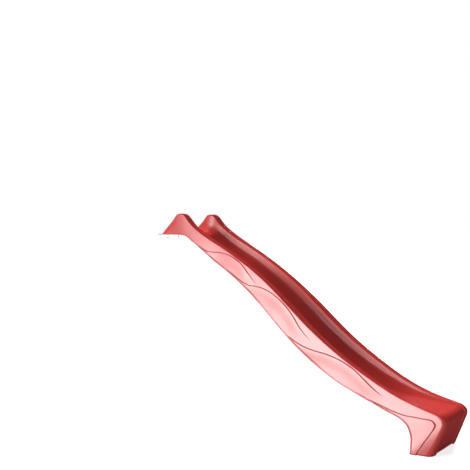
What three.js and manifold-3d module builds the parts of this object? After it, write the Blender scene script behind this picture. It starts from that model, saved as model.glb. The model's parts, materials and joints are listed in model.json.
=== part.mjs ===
// Wave slide: a double-skinned, moulded plastic slide for a playground tower.
//
// Frame, in millimetres: +X runs down the slide away from the tower, +Y is across it and +Z is up.
// The origin is on the flat underside of the deck lip, midway across, where the lip leaves the platform.

import * as THREE from 'three';
import { mergeVertices } from 'three/addons/utils/BufferGeometryUtils.js';
import Module from 'manifold-3d';

// ---------- Driving dimensions ----------

const platformHeight = 1500;      // from the ground to the underside of the deck lip
const skinThickness = 5;          // of the upper skin and of the deck lip
const lowerSkinThickness = 4;
const fitGap = 0.3;               // between pieces that touch
const roundSides = 18;            // flats round every small turned piece and drilled hole

const channelHalf = 174;          // from the centreline to the wall of the channel, all the way down
const rimInnerRadius = 10;        // where that wall turns into the flat top of the rim
const rimCorner = 8;              // outer radius of the rim
const largestInnerRadius = 0.35;  // as a share of the bed's depth, where the channel is shallow
const channelSquareness = 0.5;    // 1 gives an ellipse, less gives a flatter bed and steeper walls
const wallLean = 0.18;            // how much the channel narrows with its depth
const channelSteps = 7;           // from the middle of the bed to the top of the wall
const rimInnerSteps = 2;
const rimCornerSteps = 4;
const skirtSpread = 8;            // how far the skirt leans out from the rim to the hem
const hemHeight = 12;             // bead along the lower edge of the skirt
const largestHem = 0.45;          // as a share of the section's height, at the tips of the ears
const hemOverhang = 5;
const noseBulge = 8;              // how far the middle of the nose stands ahead of its corners
const footFlangeHeight = 8;       // flange round the bottom of the foot
const footFlangeWidth = 7;
const footTop = footFlangeHeight - platformHeight;

// Stations down the slide. Each one is a line in the side view, from the rim to the hem, with the
// outside half width there, the depth of the bed under the rim, and the radius of the outer corner.
// The first ones climb over the ears, which stand on the deck. The last ones turn round the nose, so
// that the final one lies level just above the ground. The outside narrows and widens again in a
// slow wave, while the channel keeps its width.
const stations = [
  { rim: [-26, 14], hem: [-26, 0], half: 250, depth: 8.5, corner: 5 },
  { rim: [30, 72], hem: [30, 0], half: 250, depth: 66.5, corner: rimCorner },
  { rim: [80, 120], hem: [76, 0], half: 250, depth: 114.5, corner: rimCorner },
  { rim: [122, 168], hem: [112, 0], half: 250, depth: 162.8, corner: rimCorner },
  { rim: [150, 177], hem: [137, 0], half: 250, depth: 172, corner: rimCorner },
  { rim: [183, 174], hem: [162, 0], half: 250, depth: 169.7, corner: rimCorner },
  { rim: [215, 153], hem: [190, -2], half: 250, depth: 151, corner: rimCorner },
  { rim: [274, 90], hem: [236, -13], half: 250, depth: 99, corner: rimCorner },
  { rim: [335, 43], hem: [291, -50], half: 250, depth: 90, corner: rimCorner },
  { rim: [441, -22], hem: [391, -122], half: 246, depth: 94, corner: rimCorner },
  { rim: [574, -92], hem: [512, -212], half: 238, depth: 98, corner: rimCorner },
  { rim: [725, -175], hem: [657, -302], half: 237, depth: 100, corner: rimCorner },
  { rim: [898, -282], hem: [813, -415], half: 236, depth: 104, corner: rimCorner },
  { rim: [1065, -402], hem: [959, -534], half: 242, depth: 108, corner: rimCorner },
  { rim: [1233, -539], hem: [1123, -680], half: 253, depth: 110, corner: rimCorner },
  { rim: [1390, -673], hem: [1287, -828], half: 253, depth: 108, corner: rimCorner },
  { rim: [1543, -793], hem: [1452, -954], half: 244, depth: 103, corner: rimCorner },
  { rim: [1691, -894], hem: [1616, -1056], half: 237, depth: 96, corner: rimCorner },
  { rim: [1834, -981], hem: [1766, -1128], half: 230, depth: 86, corner: rimCorner },
  { rim: [1974, -1058], hem: [1904, -1185], half: 225, depth: 71, corner: rimCorner },
  { rim: [2115, -1122], hem: [2023, -1232], half: 226, depth: 54, corner: rimCorner },
  { rim: [2253, -1168], hem: [2123, -1267], half: 231, depth: 38, corner: 9 },
  { rim: [2366, -1196], hem: [2183, -1306], half: 237, depth: 26, corner: 12 },
  { rim: [2431, -1215], hem: [2209, -1352], half: 241, depth: 16, corner: 17 },
  { rim: [2463, -1258], hem: [2221, -1400], half: 245, depth: 14, corner: 25 },
  { rim: [2438, -1340], hem: [2220, -1448], half: 250, depth: 12, corner: 34 },
  { rim: [2378, footTop], hem: [2220, footTop], half: 256, depth: 12, corner: 44 },
];
const lastStation = stations.length - 1;
const bulgeStart = 2150;          // where the nose starts to round in the plan view
const bulgeEnd = 2400;
const stepsPerStation = 2;

const lowerSkinStart = 10;        // the station where the lower skin begins
const lowerSkinArch = 10;         // how far the lower skin rises between the skirts
const lowerSkinInset = 8;         // from the hem up to the lower skin
const lowerSkinSideGap = 3;       // between the lower skin's edge and the skirt
const lowerSkinSteps = 8;         // from one side to the other
const basePlateFront = 2364;      // front edge of the flat base of the foot
const basePlateCorner = 45;
const heelBevel = 1;              // where the lower skin turns from the back of the foot to its base

const lipLength = 100;            // the part of the lip that lies on the platform
const lipHalfWidth = 236;
const lipCorner = 25;
const lipCornerSteps = 5;
const lipOverlap = 12;            // how far the lip runs on under the mouth of the bed

const screw = { x: -55, pitch: 150, shank: 3, head: 6.5, headTop: 4.5, headHeight: 4, length: 40, tip: 7 };
const washer = { radius: 10, bore: 3.4, thickness: 1.6 };
const cap = { radius: 14, shoulder: 10, height: 9.5, wall: 1.8, crown: 4, crownEase: 1 };

const hose = {
  x: 108, bore: 4.5, stem: 9, stemLength: 22, flange: 17, flangeHeight: 2.4, flangeBevel: 1.5,
};
const hoseBarb = { root: 6.4, crest: 8, length: 26, count: 2, pitch: 5.5, step: 0.5 };
const hoseFlangeLift = 1;         // of the flange's seat over the lip's top, where the bed lies
const hoseGasket = { radius: 16, thickness: 2 };
const hoseNut = { radius: 16, height: 8 };
const hoseCap = { radius: 10, depth: 20, wall: 1.6, bevel: 1, overlap: 16 };

const ventPlug = {
  station: 16, stem: 9, stemLength: 12, wall: 2, flange: 14, flangeHeight: 2.5, bevel: 1, standOff: 1,
};
const anchorBush = { x: 2262, y: 150, stem: 9, flange: 13, bore: 5.5, flangeHeight: 3, height: 10 };

const plastic = { color: 0xc0282d, roughness: 0.3, metalness: 0 };
const greyPlastic = { color: 0x3a3c3e, roughness: 0.45, metalness: 0 };
const rubber = { color: 0x1c1c1d, roughness: 0.8, metalness: 0 };
const steel = { color: 0xb4b7ba, roughness: 0.3, metalness: 1 };

// ---------- Solids ----------

const wasm = await Module();
wasm.setup();

function solidFrom(geometry) {
  const bare = geometry.clone();
  bare.deleteAttribute('normal');
  bare.deleteAttribute('uv');
  const merged = mergeVertices(bare);
  return new wasm.Manifold(new wasm.Mesh({
    numProp: 3,
    vertProperties: merged.attributes.position.array,
    triVerts: new Uint32Array(merged.index.array),
  }));
}

function geometryFrom(solid) {
  const mesh = solid.getMesh();
  const geometry = new THREE.BufferGeometry();
  geometry.setAttribute('position', new THREE.BufferAttribute(mesh.vertProperties, 3));
  geometry.setIndex(new THREE.BufferAttribute(mesh.triVerts, 1));
  geometry.computeVertexNormals();
  return geometry;
}

function uprightCylinder(radius, bottom, top, x, y) {
  return new THREE.CylinderGeometry(radius, radius, top - bottom, roundSides)
    .rotateX(Math.PI / 2)
    .translate(x, y, (top + bottom) / 2);
}

// A closed sheet between two grids of points, given as rows of the same length.
function sheetBetween(outerRows, innerRows) {
  const rows = outerRows.length;
  const columns = outerRows[0].length;
  const positions = [...outerRows, ...innerRows].flat().flatMap((point) => point.toArray());
  const outer = (row, column) => row * columns + column;
  const inner = (row, column) => (rows + row) * columns + column;
  const faces = [];
  const quad = (a, b, c, d) => faces.push(a, b, c, a, c, d);
  for (let row = 0; row < rows - 1; row++) {
    for (let column = 0; column < columns - 1; column++) {
      quad(outer(row, column), outer(row + 1, column), outer(row + 1, column + 1), outer(row, column + 1));
      quad(inner(row, column), inner(row, column + 1), inner(row + 1, column + 1), inner(row + 1, column));
    }
    const last = columns - 1;
    quad(outer(row, 0), inner(row, 0), inner(row + 1, 0), outer(row + 1, 0));
    quad(outer(row, last), outer(row + 1, last), inner(row + 1, last), inner(row, last));
  }
  const end = rows - 1;
  for (let column = 0; column < columns - 1; column++) {
    quad(outer(0, column), outer(0, column + 1), inner(0, column + 1), inner(0, column));
    quad(outer(end, column), inner(end, column), inner(end, column + 1), outer(end, column + 1));
  }
  const geometry = new THREE.BufferGeometry();
  geometry.setAttribute('position', new THREE.Float32BufferAttribute(positions, 3));
  geometry.setIndex(faces);
  return geometry;
}

// ---------- The slide's own cross-sections ----------

function lineThrough(across, up) {
  const points = stations.map((station, index) => new THREE.Vector2(across(station, index), up(station)));
  return new THREE.SplineCurve(points);
}

const rimLine = lineThrough((station) => station.rim[0], (station) => station.rim[1]);
const hemLine = lineThrough((station) => station.hem[0], (station) => station.hem[1]);
const sizeLine = lineThrough((station) => station.half, (station) => station.depth);
const cornerLine = lineThrough((_, index) => index, (station) => station.corner);

// The cross-section at a station: where it is, which way is up in it, and how big it is.
function stationAt(position) {
  const along = position / lastStation;
  const rim = rimLine.getPoint(along);
  const size = sizeLine.getPoint(along);
  const up = rim.clone().sub(hemLine.getPoint(along));
  const height = up.length();
  const corner = cornerLine.getPoint(along).y;
  const bulge = noseBulge * THREE.MathUtils.smoothstep(rim.x, bulgeStart, bulgeEnd);
  return { rim, up: up.divideScalar(height), height, half: size.x, depth: size.y, corner, bulge };
}

// A point of the section: across is along Y, rise is measured up from the rim.
function placed(station, across, rise) {
  const middle = 1 - Math.min(1, Math.abs(across) / station.half) ** 2;
  return new THREE.Vector3(
    station.rim.x + station.up.x * rise + station.bulge * middle,
    across,
    station.rim.y + station.up.y * rise,
  );
}

function arc(centreAcross, centreRise, radius, fromDegrees, toDegrees, steps) {
  return Array.from({ length: steps + 1 }, (_, step) => {
    const angle = THREE.MathUtils.degToRad(fromDegrees + (toDegrees - fromDegrees) * step / steps);
    return [centreAcross + radius * Math.cos(angle), centreRise + radius * Math.sin(angle)];
  });
}

// Half of the upper skin's outside, from the middle of the bed out to the hem, as [across, rise].
function halfSection(station) {
  const innerRadius = Math.min(rimInnerRadius, station.depth * largestInnerRadius);
  const hem = Math.min(hemHeight, station.height * largestHem);
  const skirt = station.half + skirtSpread;
  const channel = [];
  for (let step = 0; step < channelSteps; step++) {
    const angle = (step / channelSteps) * Math.PI / 2;
    channel.push([
      channelHalf * Math.sin(angle) ** channelSquareness,
      -innerRadius - (station.depth - innerRadius) * Math.cos(angle) ** channelSquareness,
    ]);
  }
  channel.push(...arc(channelHalf + innerRadius, -innerRadius, innerRadius, 180, 90, rimInnerSteps));
  const points = channel.map(([across, rise]) => [across * (1 + wallLean * rise / channelHalf), rise]);
  const outerRadius = station.corner;
  points.push(...arc(station.half - outerRadius, -outerRadius, outerRadius, 90, 0, rimCornerSteps));
  points.push([skirt, hem - station.height]);
  points.push([skirt + hemOverhang, hem - station.height]);
  points.push([skirt + hemOverhang, -station.height]);
  return points;
}

function mirrored(half) {
  const otherSide = half.slice(1).reverse().map(([across, rise]) => [-across, rise]);
  return [...otherSide, ...half];
}

// The same line moved sideways by a distance, to its right as it runs, with mitred corners.
function offsetLine(line, distance) {
  const normalBetween = (a, b) => new THREE.Vector2(b[1] - a[1], a[0] - b[0]).normalize();
  return line.map((point, index) => {
    const before = index > 0 ? normalBetween(line[index - 1], point) : null;
    const after = index < line.length - 1 ? normalBetween(point, line[index + 1]) : null;
    const normal = (before ?? after).clone().add(after ?? before).normalize();
    const reach = distance / normal.dot(before ?? after);
    return [point[0] + normal.x * reach, point[1] + normal.y * reach];
  });
}

// ---------- Upper skin: ears, bed, rims, skirts, nose and the flange of the foot ----------

function upperSkin() {
  const outerRows = [];
  const innerRows = [];
  const steps = lastStation * stepsPerStation;
  const atGround = (point, height) => new THREE.Vector3(point.x, point.y, height - platformHeight);
  let outside;
  let inside;
  let station;
  for (let step = 0; step <= steps; step++) {
    station = stationAt(step / stepsPerStation);
    outside = mirrored(halfSection(station));
    inside = offsetLine(outside, skinThickness);
    outerRows.push(outside.map(([across, rise]) => placed(station, across, rise)));
    innerRows.push(inside.map(([across, rise]) => placed(station, across, rise)));
  }
  const flangeLine = offsetLine(outside, -footFlangeWidth);
  const flangeEdge = flangeLine.map(([across, rise]) => placed(station, across, rise));
  const lastInner = innerRows[innerRows.length - 1];
  outerRows.push(flangeEdge.map((point) => atGround(point, footFlangeHeight - fitGap)));
  outerRows.push(flangeEdge.map((point) => atGround(point, 0)));
  innerRows.push(lastInner.map((point) => atGround(point, footFlangeHeight / 2)));
  innerRows.push(lastInner.map((point) => atGround(point, 0)));
  return sheetBetween(outerRows, innerRows);
}

// The flat lip that lies on the platform, running on under the mouth of the bed.
function deckLip() {
  const outline = new THREE.Shape();
  const inner = -lipLength + lipCorner;
  const side = lipHalfWidth - lipCorner;
  outline.moveTo(lipOverlap, -lipHalfWidth);
  outline.lineTo(lipOverlap, lipHalfWidth);
  outline.lineTo(inner, lipHalfWidth);
  outline.absarc(inner, side, lipCorner, Math.PI / 2, Math.PI, false);
  outline.absarc(inner, -side, lipCorner, Math.PI, Math.PI * 1.5, false);
  const extrusion = { depth: skinThickness, bevelEnabled: false, curveSegments: lipCornerSteps };
  return new THREE.ExtrudeGeometry(outline, extrusion);
}

const holeReach = 20;             // how far a drill runs past the skin it cuts
const upward = new THREE.Vector3(0, 0, 1);
const screwPlaces = [-screw.pitch, 0, screw.pitch];
const screwSides = ['left', 'middle', 'right'];

function slideShell() {
  let shell = solidFrom(upperSkin()).add(solidFrom(deckLip()));
  for (const place of screwPlaces) {
    const screwDrill = uprightCylinder(washer.bore, -holeReach, holeReach, screw.x, place);
    shell = shell.subtract(solidFrom(screwDrill));
  }
  const hoseDrill = uprightCylinder(hose.stem + 2 * fitGap, -holeReach, holeReach, hose.x, 0);
  return shell.subtract(solidFrom(hoseDrill));
}

// ---------- Lower skin: closes the slide underneath and makes the flat base of the foot ----------

// How far above the hem the lower skin lies at a station; share runs from -1 to 1 across it.
function lowerSkinLift(position, share) {
  const toFoot = (position - lowerSkinStart) / (lastStation - lowerSkinStart);
  return lowerSkinInset + lowerSkinArch * (1 - toFoot) * (1 - share ** 2);
}

// The middle of the lower skin's underside at a station, and the unit vector into the slide there.
function lowerSkinAt(position) {
  const middleAt = (place) => {
    const station = stationAt(place);
    return placed({ ...station, bulge: 0 }, 0, lowerSkinLift(place, 0) - station.height);
  };
  const near = 0.1;
  const run = middleAt(position + near).sub(middleAt(position - near)).normalize();
  return { point: middleAt(position), normal: new THREE.Vector3(-run.z, 0, run.x) };
}

function lowerSkin() {
  const shares = Array.from({ length: lowerSkinSteps + 1 }, (_, step) => (2 * step) / lowerSkinSteps - 1);
  const outerRows = [];
  const innerRows = [];
  const steps = (lastStation - lowerSkinStart) * stepsPerStation;
  const side = (station) => station.half - skinThickness - lowerSkinSideGap;
  for (let step = 0; step <= steps; step++) {
    const position = lowerSkinStart + step / stepsPerStation;
    const station = { ...stationAt(position), bulge: 0 };
    const rowAt = (thickness) => shares.map((share) => (
      placed(station, share * side(station), lowerSkinLift(position, share) + thickness - station.height)
    ));
    outerRows.push(rowAt(0));
    innerRows.push(rowAt(lowerSkinThickness));
  }
  const last = stationAt(lastStation);
  const heel = outerRows[steps][0].x + lowerSkinThickness + heelBevel;
  const plateSide = side(last);
  const plateRows = [
    [heel, plateSide],
    [basePlateFront - basePlateCorner, plateSide],
    [basePlateFront, plateSide - basePlateCorner],
  ];
  for (const [x, reach] of plateRows) {
    const rowAt = (height) => shares.map((share) => (
      new THREE.Vector3(x, share * reach, height - platformHeight)
    ));
    outerRows.push(rowAt(0));
    innerRows.push(rowAt(lowerSkinThickness));
  }
  innerRows[steps + 1].forEach((point) => { point.x += lowerSkinThickness; });
  return sheetBetween(innerRows, outerRows);
}

function undersideShell() {
  const vent = lowerSkinAt(ventPlug.station);
  const ventDrill = uprightCylinder(ventPlug.stem + 2 * fitGap, -holeReach, holeReach, 0, 0);
  ventDrill.applyQuaternion(new THREE.Quaternion().setFromUnitVectors(upward, vent.normal));
  ventDrill.translate(vent.point.x, vent.point.y, vent.point.z);
  let skin = solidFrom(lowerSkin()).subtract(solidFrom(ventDrill));
  for (const side of [-1, 1]) {
    const y = side * anchorBush.y;
    const bushDrill = uprightCylinder(anchorBush.stem + fitGap, -holeReach, holeReach, anchorBush.x, y);
    skin = skin.subtract(solidFrom(bushDrill.translate(0, 0, -platformHeight)));
  }
  return skin;
}

// ---------- Turned and moulded small pieces ----------

function turned(profile) {
  const points = profile.map(([radius, height]) => new THREE.Vector2(radius, height));
  return new THREE.LatheGeometry(points, roundSides).rotateX(Math.PI / 2);
}

function ring(outerRadius, innerRadius, bottom, top) {
  return turned([
    [innerRadius, bottom],
    [outerRadius, bottom],
    [outerRadius, top],
    [innerRadius, top],
    [innerRadius, bottom],
  ]);
}

function hexNut(outerRadius, bore, height) {
  const corners = Array.from({ length: 6 }, (_, corner) => {
    const angle = (corner * Math.PI) / 3;
    return new THREE.Vector2(outerRadius * Math.cos(angle), outerRadius * Math.sin(angle));
  });
  const outline = new THREE.Shape(corners);
  outline.holes.push(new THREE.Path().absarc(0, 0, bore, 0, Math.PI * 2, true));
  return new THREE.ExtrudeGeometry(outline, { depth: height, bevelEnabled: false, curveSegments: 12 });
}

function deckScrew(underHead) {
  return turned([
    [0, underHead - screw.length],
    [screw.shank, underHead - screw.length + screw.tip],
    [screw.shank, underHead],
    [screw.head, underHead],
    [screw.head, underHead + screw.headHeight / 2],
    [screw.headTop, underHead + screw.headHeight],
    [0, underHead + screw.headHeight],
  ]);
}

function screwCap(base) {
  const inner = cap.radius - cap.wall;
  const top = base + cap.height;
  const crownStart = top - cap.crown;
  return turned([
    [inner, base],
    [cap.radius, base],
    [cap.radius, crownStart],
    [cap.shoulder, top - cap.crownEase],
    [0, top],
    [0, top - cap.wall],
    [cap.shoulder - cap.wall, top - cap.wall - cap.crownEase],
    [inner, crownStart - cap.crownEase],
    [inner, base],
  ]);
}

// A stem that drops through the bed from its flange, ending in a barb for a garden hose.
function hoseNipple(base) {
  const stemEnd = -hose.stemLength;
  const tip = stemEnd - hoseBarb.length;
  const ribs = [];
  for (let rib = 0; rib < hoseBarb.count; rib++) {
    const start = tip + rib * hoseBarb.pitch;
    const crest = start + hoseBarb.pitch - hoseBarb.step;
    ribs.push([hoseBarb.root, start], [hoseBarb.crest, crest]);
  }
  return turned([
    [hose.bore, tip],
    ...ribs,
    [hoseBarb.root, tip + hoseBarb.count * hoseBarb.pitch],
    [hoseBarb.root, stemEnd],
    [hose.stem, stemEnd],
    [hose.stem, base],
    [hose.flange, base],
    [hose.flange - hose.flangeBevel, base + hose.flangeHeight],
    [hose.bore, base + hose.flangeHeight],
    [hose.bore, tip],
  ]);
}

function hoseDustCap(top) {
  const bottom = top - hoseCap.depth;
  const inner = hoseCap.radius - hoseCap.wall;
  return turned([
    [0, bottom],
    [hoseCap.radius - hoseCap.bevel, bottom],
    [hoseCap.radius, bottom + hoseCap.bevel],
    [hoseCap.radius, top],
    [inner, top],
    [inner, bottom + hoseCap.wall],
    [0, bottom + hoseCap.wall],
  ]);
}

function ventPlugShape() {
  const inner = ventPlug.stem - ventPlug.wall;
  const flangeTop = -ventPlug.standOff;
  const flangeBottom = flangeTop - ventPlug.flangeHeight;
  return turned([
    [0, flangeBottom],
    [ventPlug.flange - ventPlug.bevel, flangeBottom],
    [ventPlug.flange, flangeBottom + ventPlug.bevel],
    [ventPlug.flange, flangeTop],
    [ventPlug.stem, flangeTop],
    [ventPlug.stem, ventPlug.stemLength],
    [inner, ventPlug.stemLength],
    [inner, 0],
    [0, 0],
  ]);
}

function anchorBushShape() {
  const bottom = fitGap;
  const shoulder = lowerSkinThickness + fitGap;
  return turned([
    [anchorBush.bore, bottom],
    [anchorBush.stem, bottom],
    [anchorBush.stem, shoulder],
    [anchorBush.flange, shoulder],
    [anchorBush.flange, shoulder + anchorBush.flangeHeight],
    [anchorBush.stem, anchorBush.height],
    [anchorBush.bore, anchorBush.height],
    [anchorBush.bore, bottom],
  ]);
}

// ---------- Assembly ----------

const group = new THREE.Group();

function addPiece(name, geometry, finish) {
  const mesh = new THREE.Mesh(geometry, new THREE.MeshStandardMaterial(finish));
  mesh.name = name;
  group.add(mesh);
  return mesh;
}

addPiece('slide_shell', geometryFrom(slideShell()), plastic);
addPiece('underside_shell', geometryFrom(undersideShell()), plastic);

const washerBottom = skinThickness + fitGap;
const headBottom = washerBottom + washer.thickness + fitGap;
screwPlaces.forEach((place, index) => {
  const side = screwSides[index];
  const washerShape = ring(washer.radius, washer.bore, washerBottom, washerBottom + washer.thickness);
  addPiece(`deck_screw_${side}`, deckScrew(headBottom), steel).position.set(screw.x, place, 0);
  addPiece(`deck_washer_${side}`, washerShape, steel).position.set(screw.x, place, 0);
  addPiece(`screw_cap_${side}`, screwCap(washerBottom), plastic).position.set(screw.x, place, 0);
});

const gasketTop = -fitGap;
const nutTop = gasketTop - hoseGasket.thickness - fitGap;
const stemClearance = hose.stem + fitGap;
const gasketShape = ring(hoseGasket.radius, stemClearance, gasketTop - hoseGasket.thickness, gasketTop);
const nutShape = hexNut(hoseNut.radius, stemClearance, hoseNut.height);
nutShape.translate(0, 0, nutTop - hoseNut.height);
addPiece('hose_nipple', hoseNipple(skinThickness + hoseFlangeLift), greyPlastic).position.x = hose.x;
addPiece('hose_gasket', gasketShape, rubber).position.x = hose.x;
addPiece('hose_locknut', nutShape, greyPlastic).position.x = hose.x;
const barbTip = -hose.stemLength - hoseBarb.length;
addPiece('hose_dust_cap', hoseDustCap(barbTip + hoseCap.overlap), rubber).position.x = hose.x;

const vent = lowerSkinAt(ventPlug.station);
const plug = addPiece('vent_plug', ventPlugShape(), plastic);
plug.position.copy(vent.point);
plug.quaternion.setFromUnitVectors(upward, vent.normal);

for (const [name, side] of [['left', -1], ['right', 1]]) {
  const bush = addPiece(`anchor_bush_${name}`, anchorBushShape(), rubber);
  bush.position.set(anchorBush.x, side * anchorBush.y, -platformHeight);
}

export default group;
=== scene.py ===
"""Looks of the wave slide: fine moulded skins, materials, studio light and camera. In metres."""
import json
import math

import bpy
import numpy as np
from mathutils import Matrix, Vector


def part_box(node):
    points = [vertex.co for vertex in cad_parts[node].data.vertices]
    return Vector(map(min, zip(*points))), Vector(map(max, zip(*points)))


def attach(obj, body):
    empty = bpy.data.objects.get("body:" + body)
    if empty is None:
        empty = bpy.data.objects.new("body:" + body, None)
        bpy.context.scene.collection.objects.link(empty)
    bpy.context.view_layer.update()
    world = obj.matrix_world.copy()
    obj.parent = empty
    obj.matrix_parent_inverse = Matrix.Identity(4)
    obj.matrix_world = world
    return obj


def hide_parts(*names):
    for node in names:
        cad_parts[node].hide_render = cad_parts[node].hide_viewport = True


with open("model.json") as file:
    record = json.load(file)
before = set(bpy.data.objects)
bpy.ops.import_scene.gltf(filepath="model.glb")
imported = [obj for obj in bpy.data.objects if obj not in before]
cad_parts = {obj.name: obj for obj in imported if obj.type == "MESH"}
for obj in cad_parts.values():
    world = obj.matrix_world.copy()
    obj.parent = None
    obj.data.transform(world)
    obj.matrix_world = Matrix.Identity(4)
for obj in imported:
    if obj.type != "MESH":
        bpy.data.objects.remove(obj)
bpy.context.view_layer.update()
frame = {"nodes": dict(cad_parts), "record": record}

MM = 0.001

# ---------- The slide's form, the same as the CAD model's ----------

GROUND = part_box("slide_shell")[0].z
FOOT_FLANGE_HEIGHT = 8 * MM
FOOT_FLANGE_WIDTH = 7 * MM
FOOT_TOP = (GROUND + FOOT_FLANGE_HEIGHT) / MM
SKIN = 5 * MM
LOWER_SKIN = 4 * MM

CHANNEL_HALF = 174 * MM         # from the centreline to the wall of the channel
RIM_INNER_RADIUS = 10 * MM      # where that wall turns into the flat top of the rim
LARGEST_INNER_RADIUS = 0.35     # as a share of the bed's depth
LARGEST_HEM = 0.45              # as a share of the section's height
CHANNEL_SQUARENESS = 0.5        # 1 gives an ellipse, less gives a flatter bed and steeper walls
WALL_LEAN = 0.18                # how much the channel narrows with its depth
RIM_CORNER = 8                  # outer radius of the rim, in millimetres
RIM_CROWN = 1.5 * MM            # how far the middle of the rim's top rises over its edges
SKIRT_SPREAD = 8 * MM           # how far the skirt leans out from the rim to the hem
HEM_HEIGHT = 12 * MM
HEM_OVERHANG = 2 * MM
NOSE_BULGE = 8 * MM
BULGE_START = 2.15
BULGE_END = 2.40
LIP_HALF_WIDTH = 236 * MM
LIP_CORNER = 25 * MM
LIP_CORNER_START = 0.12         # radians round the corner where the lip's first row lies
EAR_TIP_REACH = 6 * MM          # from the tips of the ears back to the last row of the lip
HOSE_HOLE = 9 * MM              # radius of the hole that is left in the bed round the hose
BED_LEVEL = 20 * MM             # the bed round the hose lies within this of z = 0

# Each station, in millimetres: rim x and z, hem x and z, half width, bed depth, outer corner radius.
STATIONS = np.array([
    (-26, 14, -26, 0, 250, 8.5, 5),
    (30, 72, 30, 0, 250, 66.5, RIM_CORNER),
    (80, 120, 76, 0, 250, 114.5, RIM_CORNER),
    (122, 168, 112, 0, 250, 162.8, RIM_CORNER),
    (150, 177, 137, 0, 250, 172, RIM_CORNER),
    (183, 174, 162, 0, 250, 169.7, RIM_CORNER),
    (215, 153, 190, -2, 250, 151, RIM_CORNER),
    (274, 90, 236, -13, 250, 99, RIM_CORNER),
    (335, 43, 291, -50, 250, 90, RIM_CORNER),
    (441, -22, 391, -122, 246, 94, RIM_CORNER),
    (574, -92, 512, -212, 238, 98, RIM_CORNER),
    (725, -175, 657, -302, 237, 100, RIM_CORNER),
    (898, -282, 813, -415, 236, 104, RIM_CORNER),
    (1065, -402, 959, -534, 242, 108, RIM_CORNER),
    (1233, -539, 1123, -680, 253, 110, RIM_CORNER),
    (1390, -673, 1287, -828, 253, 108, RIM_CORNER),
    (1543, -793, 1452, -954, 244, 103, RIM_CORNER),
    (1691, -894, 1616, -1056, 237, 96, RIM_CORNER),
    (1834, -981, 1766, -1128, 230, 86, RIM_CORNER),
    (1974, -1058, 1904, -1185, 225, 71, RIM_CORNER),
    (2115, -1122, 2023, -1232, 226, 54, RIM_CORNER),
    (2253, -1168, 2123, -1267, 231, 38, 9),
    (2366, -1196, 2183, -1306, 237, 26, 12),
    (2431, -1215, 2209, -1352, 241, 16, 17),
    (2463, -1258, 2221, -1400, 245, 14, 25),
    (2438, -1340, 2220, -1448, 250, 12, 34),
    (2378, FOOT_TOP, 2220, FOOT_TOP, 256, 12, 44),
]) * MM
LAST_STATION = len(STATIONS) - 1
LOWER_SKIN_START = 10           # the station where the lower skin begins
LOWER_SKIN_ARCH = 10 * MM
LOWER_SKIN_INSET = 8 * MM
LOWER_SKIN_SIDE_GAP = 3 * MM
BASE_PLATE_FRONT = 2.364
BASE_PLATE_CORNER = 45 * MM
HEEL_BEND = 10 * MM             # where the lower skin turns from the back of the foot to its base

FLOOR_REACH = 60.0

# ---------- How fine the surfaces are ----------

ROW_SPACING = 3.5 * MM          # along the slide
RIM_SAMPLES = 4000              # points that the length of the rim is measured over

# Steps across the upper skin, on each side of its middle.
CHANNEL_STEPS = 24
INNER_STEPS = 5
FLAT_STEPS = 5
OUTER_STEPS = 8
SKIRT_STEPS = 76
CHANNEL_CROWDING = 1.5          # over 1, so that the steps nearest the middle aren't too wide

LIP_CORNER_ROWS = 7
LIP_STRAIGHT_ROWS = 6
LOWER_SKIN_COLUMNS = 41
HEEL_BEND_STEPS = 7
PLATE_CORNER_STEPS = 8

# The bead along the hem, as shares of its overhang and of its height, from the top down.
HEM_PROFILE = [
    (0.0, 1.0), (0.15, 0.95), (0.5, 0.88), (0.85, 0.76),
    (1.0, 0.55), (1.0, 0.2), (0.85, 0.05), (0.6, 0.0),
]
# The flange round the foot, as shares of its width and of its height, from the top down.
FOOT_FLANGE_PROFILE = [(0.3, 0.97), (0.8, 0.85), (1.0, 0.6), (1.0, 0.0)]


def through(points, at):
    """The Catmull-Rom curve through rows of numbers, at positions counted in rows, as an array."""
    points = np.asarray(points, float)
    at = np.asarray(at, float)
    last = len(points) - 1
    row = np.clip(np.floor(at).astype(int), 0, last - 1)
    share = (at - row)[:, None]
    before = points[np.maximum(row - 1, 0)]
    start = points[row]
    end = points[row + 1]
    after = points[np.minimum(row + 2, last)]
    leave = (end - before) / 2
    arrive = (after - start) / 2
    cubic = 2 * start - 2 * end + leave + arrive
    square = -3 * start + 3 * end - 2 * leave - arrive
    return cubic * share ** 3 + square * share ** 2 + leave * share + start


def smoothstep(value, low, high):
    """Rises smoothly from 0 at low to 1 at high."""
    share = np.clip((value - low) / (high - low), 0, 1)
    return share * share * (3 - 2 * share)


class Sections:
    """The cross-sections at a list of positions: where the rim is, which way is up, and the sizes."""

    def __init__(self, positions):
        self.positions = np.asarray(positions, float)
        values = through(STATIONS, self.positions)
        self.rim = values[:, 0:2]
        up = values[:, 0:2] - values[:, 2:4]
        self.height = np.hypot(up[:, 0], up[:, 1])
        self.up = up / self.height[:, None]
        self.half = values[:, 4]
        self.depth = values[:, 5]
        self.corner = values[:, 6]
        self.bulge = NOSE_BULGE * smoothstep(self.rim[:, 0], BULGE_START, BULGE_END)

    def place(self, across, rise):
        """Points in space from sideways places and heights over the rim, one row a section."""
        middle = 1 - np.minimum(1, np.abs(across) / self.half[:, None]) ** 2
        x = self.rim[:, :1] + self.up[:, :1] * rise + self.bulge[:, None] * middle
        z = self.rim[:, 1:] + self.up[:, 1:] * rise
        return np.stack([x, across, z], axis=-1)


def even_positions(spacing):
    """Positions down the slide whose rims are about the given distance apart."""
    fine = np.linspace(0, LAST_STATION, RIM_SAMPLES)
    rim = through(STATIONS, fine)[:, 0:2]
    run = np.concatenate([[0], np.cumsum(np.hypot(*np.diff(rim, axis=0).T))])
    count = int(round(run[-1] / spacing))
    return np.interp(np.linspace(0, run[-1], count + 1), run, fine)


# ---------- Raised waves on the skirts ----------

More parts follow.
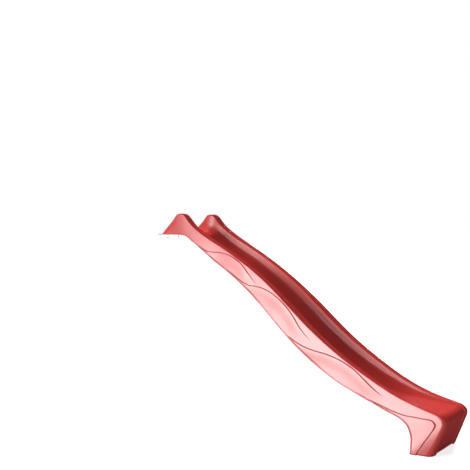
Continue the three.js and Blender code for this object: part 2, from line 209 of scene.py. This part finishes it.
# Each crest line, as places down the slide (in stations) and up the skirt (0 hem, 1 rim).
WAVE_CRESTS = [
    [(8.2, 0.13), (9.0, 0.15), (9.45, 0.24), (9.8, 0.45), (10.1, 0.65), (10.4, 0.79), (10.7, 0.88),
     (11.1, 0.93), (11.45, 0.87), (11.9, 0.71), (12.2, 0.62), (12.6, 0.55)],
    [(10.4, 0.11), (11.2, 0.13), (11.85, 0.18), (12.15, 0.29), (12.4, 0.47), (12.65, 0.63), (12.9, 0.75),
     (13.2, 0.85), (13.6, 0.91), (14.0, 0.91), (14.4, 0.84), (14.8, 0.73), (15.1, 0.68), (15.6, 0.64)],
    [(13.0, 0.07), (13.9, 0.05), (14.5, 0.06), (14.85, 0.13), (15.15, 0.21), (15.5, 0.33), (15.9, 0.51),
     (16.25, 0.68), (16.6, 0.79), (17.0, 0.88), (17.5, 0.92), (17.9, 0.88), (18.4, 0.78), (18.9, 0.68),
     (19.6, 0.60)],
    [(16.5, 0.08), (17.6, 0.08), (18.5, 0.09), (19.1, 0.12), (19.7, 0.17), (20.5, 0.21), (21.1, 0.29),
     (21.6, 0.45), (22.25, 0.61), (22.9, 0.73), (23.35, 0.75), (23.8, 0.73), (24.2, 0.65), (24.7, 0.56),
     (25.25, 0.44), (25.9, 0.31)],
]
WAVE_HEIGHT = 7 * MM
WAVE_STEP = 3 * MM              # width of the riser along each crest
WAVE_FADE = 75 * MM             # how far below its crest a wave sinks back into the skirt
WAVE_TAPER = 1.2                # stations over which a wave grows and dies away
WAVE_RIM_MARGIN = 10 * MM       # over these, the waves flatten out to the rim and to the hem
WAVE_HEM_MARGIN = 6 * MM


def wave_relief(positions, share, height):
    """How far the skirt stands proud at shares of its height, for each position down the slide."""
    relief = np.zeros(np.broadcast(positions, share).shape)
    for crest in WAVE_CRESTS:
        places = np.array([place for place, _ in crest])
        levels = np.array(crest)[:, 1:]
        knots = np.interp(positions, places, np.arange(len(places)))
        level = through(levels, knots.ravel())[:, 0].reshape(knots.shape)
        below = (level - share) * height
        grow = smoothstep(positions, places[0], places[0] + WAVE_TAPER)
        fade = np.exp(-(np.maximum(below, 0) / WAVE_FADE) ** 2)
        if crest is WAVE_CRESTS[-1]:
            fade = 1.0          # the last wave is the flat panel on the side of the foot
        else:
            grow = grow * (1 - smoothstep(positions, places[-1] - WAVE_TAPER, places[-1]))
        step = smoothstep(below, -WAVE_STEP / 2, WAVE_STEP / 2)
        relief = np.maximum(relief, WAVE_HEIGHT * grow * fade * step)
    return relief


# ---------- Meshes ----------

def mesh_object(name, points, faces, material):
    mesh = bpy.data.meshes.new(name)
    mesh.from_pydata(points.reshape(-1, 3).tolist(), [], faces)
    mesh.validate()
    mesh.shade_smooth()
    mesh.materials.append(material)
    piece = bpy.data.objects.new(name, mesh)
    bpy.context.scene.collection.objects.link(piece)
    return piece


def grid_faces(rows, columns, first=0):
    """Quads between the points of a grid that is stored row by row."""
    index = first + np.arange(rows * columns).reshape(rows, columns)
    quads = np.stack([index[:-1, :-1], index[1:, :-1], index[1:, 1:], index[:-1, 1:]], axis=-1)
    return quads.reshape(-1, 4)


def thicken(piece, thickness):
    """Gives a sheet its thickness on the side away from its normals."""
    solid = piece.modifiers.new("thickness", "SOLIDIFY")
    solid.thickness = thickness
    solid.offset = -1
    solid.use_rim = True


def leaning(line):
    """The line across the channel drawn in towards the middle, more so the deeper it lies."""
    across, rise = line
    return across * (1 + WALL_LEAN * rise / CHANNEL_HALF), rise


def half_section(sections):
    """Across and rise of the upper skin's outside from the middle of the bed to the hem, row by row."""
    ones = np.ones(len(sections.positions))[:, None]
    half = sections.half[:, None]
    depth = sections.depth[:, None]
    corner = sections.corner[:, None]
    height = sections.height[:, None]
    inner = np.minimum(RIM_INNER_RADIUS, depth * LARGEST_INNER_RADIUS)
    hem = np.minimum(HEM_HEIGHT, height * LARGEST_HEM)
    skirt = half + SKIRT_SPREAD

    part_way = np.linspace(0, 1, CHANNEL_STEPS, endpoint=False)
    angle = (part_way ** CHANNEL_CROWDING * math.pi / 2)[None, :]
    channel = (
        CHANNEL_HALF * np.sin(angle) ** CHANNEL_SQUARENESS,
        -inner - (depth - inner) * np.cos(angle) ** CHANNEL_SQUARENESS,
    )
    turn = np.linspace(math.pi, math.pi / 2, INNER_STEPS)[None, :]
    inner_arc = (CHANNEL_HALF + inner + inner * np.cos(turn), -inner + inner * np.sin(turn))
    share = np.linspace(0, 1, FLAT_STEPS + 2)[1:-1][None, :]
    flat_start = CHANNEL_HALF + inner
    crown = RIM_CROWN * 4 * share * (1 - share)
    flat = (flat_start + (half - corner - flat_start) * share, crown * ones)
    turn = np.linspace(math.pi / 2, 0, OUTER_STEPS)[None, :]
    outer_arc = (half - corner + corner * np.cos(turn), -corner + corner * np.sin(turn))
    share = np.linspace(0, 1, SKIRT_STEPS + 1)[1:][None, :]
    skirt_rise = -corner + (hem - height + corner) * share
    up_skirt = 1 + skirt_rise / height
    below_rim = smoothstep(-skirt_rise - corner, 0, WAVE_RIM_MARGIN)
    above_hem = smoothstep(height + skirt_rise - hem, 0, WAVE_HEM_MARGIN)
    positions = sections.positions[:, None] * np.ones_like(share)
    relief = below_rim * above_hem * wave_relief(positions, up_skirt, height)
    skirt_part = (half + (skirt - half) * share + relief, skirt_rise)
    out = np.array([point[0] for point in HEM_PROFILE])[None, 1:]
    tall = np.array([point[1] for point in HEM_PROFILE])[None, 1:]
    hem_part = (skirt + HEM_OVERHANG * out, hem * tall - height)
    parts = [leaning(channel), leaning(inner_arc), flat, outer_arc, skirt_part, hem_part]
    across = np.concatenate([part[0] * ones for part in parts], axis=1)
    rise = np.concatenate([part[1] * ones for part in parts], axis=1)
    return across, rise


def both_halves(across, rise):
    return (
        np.concatenate([-across[:, :0:-1], across], axis=1),
        np.concatenate([rise[:, :0:-1], rise], axis=1),
    )


def foot_flange(last_row):
    """Rows that carry the last section out to the flange round the foot and down to the ground."""
    flat = last_row[:, :2]
    along = np.gradient(flat, axis=0)
    outward = np.stack([-along[:, 1], along[:, 0]], axis=-1)
    outward /= np.linalg.norm(outward, axis=1)[:, None]
    rows = []
    for reach, level in FOOT_FLANGE_PROFILE:
        ring = flat + outward * FOOT_FLANGE_WIDTH * reach
        z = np.full((len(ring), 1), GROUND + FOOT_FLANGE_HEIGHT * level)
        rows.append(np.concatenate([ring, z], axis=1))
    return rows


def lip_rows(first_row):
    """Rows of the deck lip, from its inner end to just before the tips of the ears."""
    inner_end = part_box("slide_shell")[0].x
    mouth = first_row[0, 0]
    half = first_row[:, 1].max()
    corner = np.linspace(LIP_CORNER_START, math.pi / 2, LIP_CORNER_ROWS)
    stops = np.concatenate([
        inner_end + LIP_CORNER * (1 - np.cos(corner)),
        np.linspace(inner_end + LIP_CORNER, mouth - EAR_TIP_REACH, LIP_STRAIGHT_ROWS)[1:],
    ])
    rows = []
    for x in stops:
        into_corner = max(0.0, inner_end + LIP_CORNER - x)
        width = LIP_HALF_WIDTH - LIP_CORNER + math.sqrt(LIP_CORNER ** 2 - into_corner ** 2)
        y = first_row[:, 1] * width / half
        rows.append(np.stack([np.full(len(y), x), y, np.full(len(y), SKIN)], axis=-1))
    return np.array(rows)


def upper_skin(material):
    sections = Sections(even_positions(ROW_SPACING))
    across, rise = both_halves(*half_section(sections))
    body = sections.place(across, rise)
    body = np.concatenate([body, np.array(foot_flange(body[-1]))])
    rows, columns = body.shape[:2]
    faces = grid_faces(rows, columns)

    over_rims = CHANNEL_STEPS + INNER_STEPS + FLAT_STEPS + OUTER_STEPS
    middle = (columns - 1) // 2
    lip_columns = np.arange(middle - over_rims + 1, middle + over_rims)
    lip = lip_rows(body[0, lip_columns])
    first = rows * columns
    lip_faces = grid_faces(lip.shape[0], lip.shape[1], first)
    last_lip = first + (lip.shape[0] - 1) * lip.shape[1] + np.arange(lip.shape[1])
    joint = np.stack([last_lip[:-1], lip_columns[:-1], lip_columns[1:], last_lip[1:]], axis=-1)
    points = np.concatenate([body.reshape(-1, 3), lip.reshape(-1, 3)])
    all_faces = np.concatenate([faces, lip_faces, joint])

    low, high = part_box("hose_nipple")
    centre = np.array([(low.x + high.x) / 2, (low.y + high.y) / 2])
    middles = points[all_faces].mean(axis=1)
    clear_of_hose = np.hypot(*(middles[:, :2] - centre).T) > HOSE_HOLE
    on_bed = np.abs(middles[:, 2]) < BED_LEVEL
    all_faces = all_faces[clear_of_hose | ~on_bed]
    piece = mesh_object("upper_skin", points, all_faces.tolist(), material)
    thicken(piece, SKIN)
    return piece


def lower_skin(material):
    """The closing skin under the bed, down the back of the foot and forward along the ground."""
    positions = even_positions(2 * ROW_SPACING)
    positions = positions[positions >= LOWER_SKIN_START]
    sections = Sections(positions)
    sections.bulge[:] = 0
    share = np.linspace(-1, 1, LOWER_SKIN_COLUMNS)[None, :]
    to_foot = ((positions - LOWER_SKIN_START) / (LAST_STATION - LOWER_SKIN_START))[:, None]
    arch = LOWER_SKIN_ARCH * (1 - to_foot)
    side = sections.half[:, None] - SKIN - LOWER_SKIN_SIDE_GAP
    rise = LOWER_SKIN_INSET + arch * (1 - share ** 2) - sections.height[:, None]
    body = sections.place(share * side, rise)
    heel_x = body[-1, 0, 0]
    plate_side = side[-1, 0]
    rows = []
    for angle in np.linspace(0, math.pi / 2, HEEL_BEND_STEPS)[1:]:
        x = heel_x + HEEL_BEND * (1 - math.cos(angle))
        z = GROUND + HEEL_BEND * (1 - math.sin(angle))
        rows.append((x, plate_side, z))
    round_from = BASE_PLATE_FRONT - BASE_PLATE_CORNER
    rows.append((round_from, plate_side, GROUND))
    for turn in np.linspace(0, math.pi / 2, PLATE_CORNER_STEPS)[1:-1]:
        x = round_from + BASE_PLATE_CORNER * math.sin(turn)
        rows.append((x, plate_side - BASE_PLATE_CORNER * (1 - math.cos(turn)), GROUND))
    plate = np.array([[(x, s * width, z) for s in share[0]] for x, width, z in rows])
    body = body[body[:, 0, 2] > GROUND + HEEL_BEND]
    body = np.concatenate([body, plate])
    faces = grid_faces(body.shape[0], body.shape[1])[:, ::-1]
    piece = mesh_object("lower_skin", body, faces.tolist(), material)
    thicken(piece, LOWER_SKIN)
    return piece


# ---------- Materials ----------

def new_material(name):
    material = bpy.data.materials.new(name)
    material.use_nodes = True
    tree = material.node_tree
    shader = tree.nodes["Principled BSDF"]
    place = tree.nodes.new("ShaderNodeTexCoord")
    return material, tree, shader, place.outputs["Object"]


def noise(tree, place, scale, detail=3.0):
    texture = tree.nodes.new("ShaderNodeTexNoise")
    texture.inputs["Scale"].default_value = scale
    texture.inputs["Detail"].default_value = detail
    tree.links.new(place, texture.inputs["Vector"])
    return texture.outputs["Fac"]


def ramp(tree, value, stops):
    node = tree.nodes.new("ShaderNodeValToRGB")
    elements = node.color_ramp.elements
    while len(elements) < len(stops):
        elements.new(0.5)
    for element, (position, colour) in zip(elements, stops):
        element.position = position
        element.color = (*colour, 1)
    tree.links.new(value, node.inputs["Fac"])
    return node.outputs["Color"]


def spread(tree, value, low, high):
    """The value stretched from its middle range onto low to high."""
    node = tree.nodes.new("ShaderNodeMapRange")
    node.inputs["From Min"].default_value = 0.3
    node.inputs["From Max"].default_value = 0.7
    node.inputs["To Min"].default_value = low
    node.inputs["To Max"].default_value = high
    tree.links.new(value, node.inputs["Value"])
    return node.outputs["Result"]


def bump(tree, value, strength, distance, under=None):
    node = tree.nodes.new("ShaderNodeBump")
    node.inputs["Strength"].default_value = strength
    node.inputs["Distance"].default_value = distance
    tree.links.new(value, node.inputs["Height"])
    if under:
        tree.links.new(under, node.inputs["Normal"])
    return node.outputs["Normal"]


def slide_plastic():
    """Glossy red polyethylene: slow colour drift, painted shade that darkens the creases, uneven gloss,
    waviness and grain.
    """
    material, tree, shader, place = new_material("slide_plastic")
    drift = noise(tree, place, 3.0, 4.0)
    colour = ramp(tree, drift, [(0.3, (0.22, 0.016, 0.015)), (0.7, (0.25, 0.020, 0.018))])
    shape = tree.nodes.new("ShaderNodeNewGeometry")
    # Painted shade: concave creases, such as the risers of the waves, are darkened in the colour itself.
    painted_crease_shade = ramp(tree, shape.outputs["Pointiness"], [(0.44, (0.12, 0.3, 0.3)), (0.49, (1, 1, 1))])
    shade = tree.nodes.new("ShaderNodeMix")
    shade.data_type = "RGBA"
    shade.blend_type = "MULTIPLY"
    shade.inputs["Factor"].default_value = 1.0
    tree.links.new(colour, shade.inputs["A"])
    tree.links.new(painted_crease_shade, shade.inputs["B"])
    tree.links.new(shade.outputs["Result"], shader.inputs["Base Color"])
    patches = noise(tree, place, 9.0, 3.0)
    tree.links.new(spread(tree, patches, 0.28, 0.30), shader.inputs["Roughness"])
    shader.inputs["IOR"].default_value = 1.52
    shader.inputs["Specular IOR Level"].default_value = 0.9
    waviness = bump(tree, noise(tree, place, 14.0, 2.0), 0.15, 1.2 * MM)
    grain = bump(tree, noise(tree, place, 900.0, 2.0), 0.06, 0.15 * MM, waviness)
    tree.links.new(grain, shader.inputs["Normal"])
    return material


def dark_fitting():
    """Moulded grey nylon, matt with a fine grain."""
    material, tree, shader, place = new_material("fitting_plastic")
    shades = [(0.3, (0.030, 0.031, 0.034)), (0.7, (0.055, 0.056, 0.060))]
    colour = ramp(tree, noise(tree, place, 60.0), shades)
    tree.links.new(colour, shader.inputs["Base Color"])
    tree.links.new(spread(tree, noise(tree, place, 120.0), 0.38, 0.52), shader.inputs["Roughness"])
    tree.links.new(bump(tree, noise(tree, place, 1500.0), 0.2, 0.1 * MM), shader.inputs["Normal"])
    return material


def black_rubber():
    """Matt black rubber with a coarser grain."""
    material, tree, shader, place = new_material("rubber")
    shades = [(0.3, (0.012, 0.012, 0.012)), (0.7, (0.024, 0.023, 0.022))]
    colour = ramp(tree, noise(tree, place, 80.0), shades)
    tree.links.new(colour, shader.inputs["Base Color"])
    tree.links.new(spread(tree, noise(tree, place, 150.0), 0.7, 0.88), shader.inputs["Roughness"])
    tree.links.new(bump(tree, noise(tree, place, 2500.0), 0.3, 0.1 * MM), shader.inputs["Normal"])
    return material


def zinc_steel():
    """Bright zinc-plated steel, slightly mottled."""
    material, tree, shader, place = new_material("steel")
    shader.inputs["Metallic"].default_value = 1.0
    shades = [(0.3, (0.52, 0.53, 0.55)), (0.7, (0.70, 0.70, 0.69))]
    colour = ramp(tree, noise(tree, place, 200.0), shades)
    tree.links.new(colour, shader.inputs["Base Color"])
    tree.links.new(spread(tree, noise(tree, place, 300.0), 0.22, 0.38), shader.inputs["Roughness"])
    tree.links.new(bump(tree, noise(tree, place, 1800.0), 0.15, 0.05 * MM), shader.inputs["Normal"])
    return material


# ---------- Studio ----------

SKY_ON_NEAR_SIDE = 0.75         # strength of the surroundings, which fades across to the far side
SKY_ON_FAR_SIDE = -0.02


def floor():
    """A plain white floor. It is bright in itself, so that the shadows on it stay faint.

    It doesn't show in the gloss and doesn't cast a shadow."""
    mesh = bpy.data.meshes.new("floor")
    corners = [(-1, -1), (1, -1), (1, 1), (-1, 1)]
    mesh.from_pydata([(FLOOR_REACH * x, FLOOR_REACH * y, GROUND) for x, y in corners], [], [(0, 1, 2, 3)])
    material, _, shader, _ = new_material("floor")
    shader.inputs["Base Color"].default_value = (0.3, 0.3, 0.3, 1)
    shader.inputs["Roughness"].default_value = 0.9
    shader.inputs["Emission Color"].default_value = (1, 1, 1, 1)
    shader.inputs["Emission Strength"].default_value = 0.78
    mesh.materials.append(material)
    piece = bpy.data.objects.new("floor", mesh)
    piece.visible_glossy = False
    piece.visible_shadow = False
    bpy.context.scene.collection.objects.link(piece)


def add_lamp(name, light, place, towards, roll=0.0):
    lamp = bpy.data.objects.new(name, light)
    turn = Vector(towards).to_track_quat("-Z", "Y").to_matrix().to_4x4()
    lamp.matrix_world = Matrix.Translation(place) @ turn @ Matrix.Rotation(roll, 4, "Z")
    lamp.visible_camera = False
    bpy.context.scene.collection.objects.link(lamp)
    return lamp


def sun(name, direction, strength, disc):
    """Light from far away, from the given direction, over a disc of that many degrees.

    It gives diffuse light only, and doesn't show in the gloss."""
    light = bpy.data.lights.new(name, "SUN")
    light.energy = strength
    light.angle = math.radians(disc)
    lamp = add_lamp(name, light, (0, 0, 0), -Vector(direction))
    lamp.visible_glossy = False


def panel(name, place, target, width, height, radiance, roll=0.0):
    """A soft box turned towards its target. It shows in the gloss, and gives no diffuse light.

    Radiance is in watts per square metre and steradian."""
    light = bpy.data.lights.new(name, "AREA")
    light.shape = "RECTANGLE"
    light.size = width
    light.size_y = height
    light.energy = radiance * math.pi * width * height
    lamp = add_lamp(name, light, place, Vector(target) - Vector(place), roll)
    lamp.visible_diffuse = False


def studio():
    """Surroundings that are white to the camera, and for light and gloss brighter on the near side."""
    scene = bpy.context.scene
    world = bpy.data.worlds.new("studio")
    world.use_nodes = True
    tree = world.node_tree
    ambient = tree.nodes["Background"]
    direction = tree.nodes.new("ShaderNodeTexCoord")
    parts = tree.nodes.new("ShaderNodeSeparateXYZ")
    level = tree.nodes.new("ShaderNodeMapRange")
    level.inputs["From Min"].default_value = -1.0
    level.inputs["From Max"].default_value = 1.0
    level.inputs["To Min"].default_value = SKY_ON_NEAR_SIDE
    level.inputs["To Max"].default_value = SKY_ON_FAR_SIDE
    tree.links.new(direction.outputs["Generated"], parts.inputs["Vector"])
    tree.links.new(parts.outputs["Y"], level.inputs["Value"])
    tree.links.new(level.outputs["Result"], ambient.inputs["Strength"])
    backdrop = tree.nodes.new("ShaderNodeBackground")
    backdrop.inputs["Color"].default_value = (1, 1, 1, 1)
    backdrop.inputs["Strength"].default_value = 1.0
    rays = tree.nodes.new("ShaderNodeLightPath")
    mix = tree.nodes.new("ShaderNodeMixShader")
    tree.links.new(rays.outputs["Is Camera Ray"], mix.inputs["Fac"])
    tree.links.new(ambient.outputs["Background"], mix.inputs[1])
    tree.links.new(backdrop.outputs["Background"], mix.inputs[2])
    tree.links.new(mix.outputs["Shader"], tree.nodes["World Output"].inputs["Surface"])
    scene.world = world
    scene.view_settings.view_transform = "Standard"
    lights()


def lights():
    """Suns for the diffuse light and panels for the gloss, chosen to match the photo's tones."""
    sun("top", direction=(-0.72, 0, 0.69), strength=10.0, disc=40)
    sun("key", direction=(-0.34, -0.86, 0.35), strength=4.6, disc=12)
    sun("back", direction=(-0.15, 0.88, 0.42), strength=10.0, disc=16)
    sun("front", direction=(0.85, -0.35, 0.35), strength=0.9, disc=60)

    middle_bed = (1.2, 0, -0.6)
    exit_bed = (1.9, 0, -1.1)
    skirt = (-0.12, 0, -1.07)
    along_skirt = math.radians(-31)
    panel("key_panel", (-4.0, -8.6, 3.4), middle_bed, width=3.6, height=5.5, radiance=5.5)
    panel("exit_panel", (1.1, -8.6, 1.4), exit_bed, width=1.3, height=2.6, radiance=8.0)
    panel("side_panel", (-0.12, -3.5, -1.07), skirt, width=3.1, height=1.3, radiance=12.0, roll=along_skirt)


def camera():
    """The viewpoint: level with the platform, seen from the near side and ahead of the slide."""
    place = (4.32, -5.40, 0.058)
    azimuth = math.radians(34.9)
    pitch = math.radians(0.5)
    roll = math.radians(0.37)
    forward = Vector((-math.sin(azimuth), math.cos(azimuth), 0))
    right = Vector((math.cos(azimuth), math.sin(azimuth), 0))
    looking = forward * math.cos(pitch) - Vector((0, 0, 1)) * math.sin(pitch)
    above = right.cross(looking)
    side = right * math.cos(roll) + above * math.sin(roll)
    top = side.cross(looking)
    lens = bpy.data.cameras.new("camera")
    lens.sensor_width = 36.0
    lens.lens = 60.05
    lens.clip_end = 200
    eye = bpy.data.objects.new("camera", lens)
    turn = Matrix((side, top, -looking)).transposed()
    eye.matrix_world = Matrix.Translation(place) @ turn.to_4x4()
    bpy.context.scene.collection.objects.link(eye)
    bpy.context.scene.camera = eye


# ---------- Assembly ----------

def main():
    plastic = slide_plastic()
    finishes = {
        "slide_plastic": plastic,
        "fitting_plastic": dark_fitting(),
        "rubber": black_rubber(),
        "steel": zinc_steel(),
    }
    for part in frame["record"]["subparts"]:
        node = frame["nodes"][part["node"]]
        node.data.materials.clear()
        node.data.materials.append(finishes[part["material_slot"]])

    upper = upper_skin(plastic)
    lower = lower_skin(plastic)
    for piece, node in ((upper, "slide_shell"), (lower, "underside_shell")):
        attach(piece, "root")
        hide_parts(node)

    floor()
    studio()
    camera()


main()
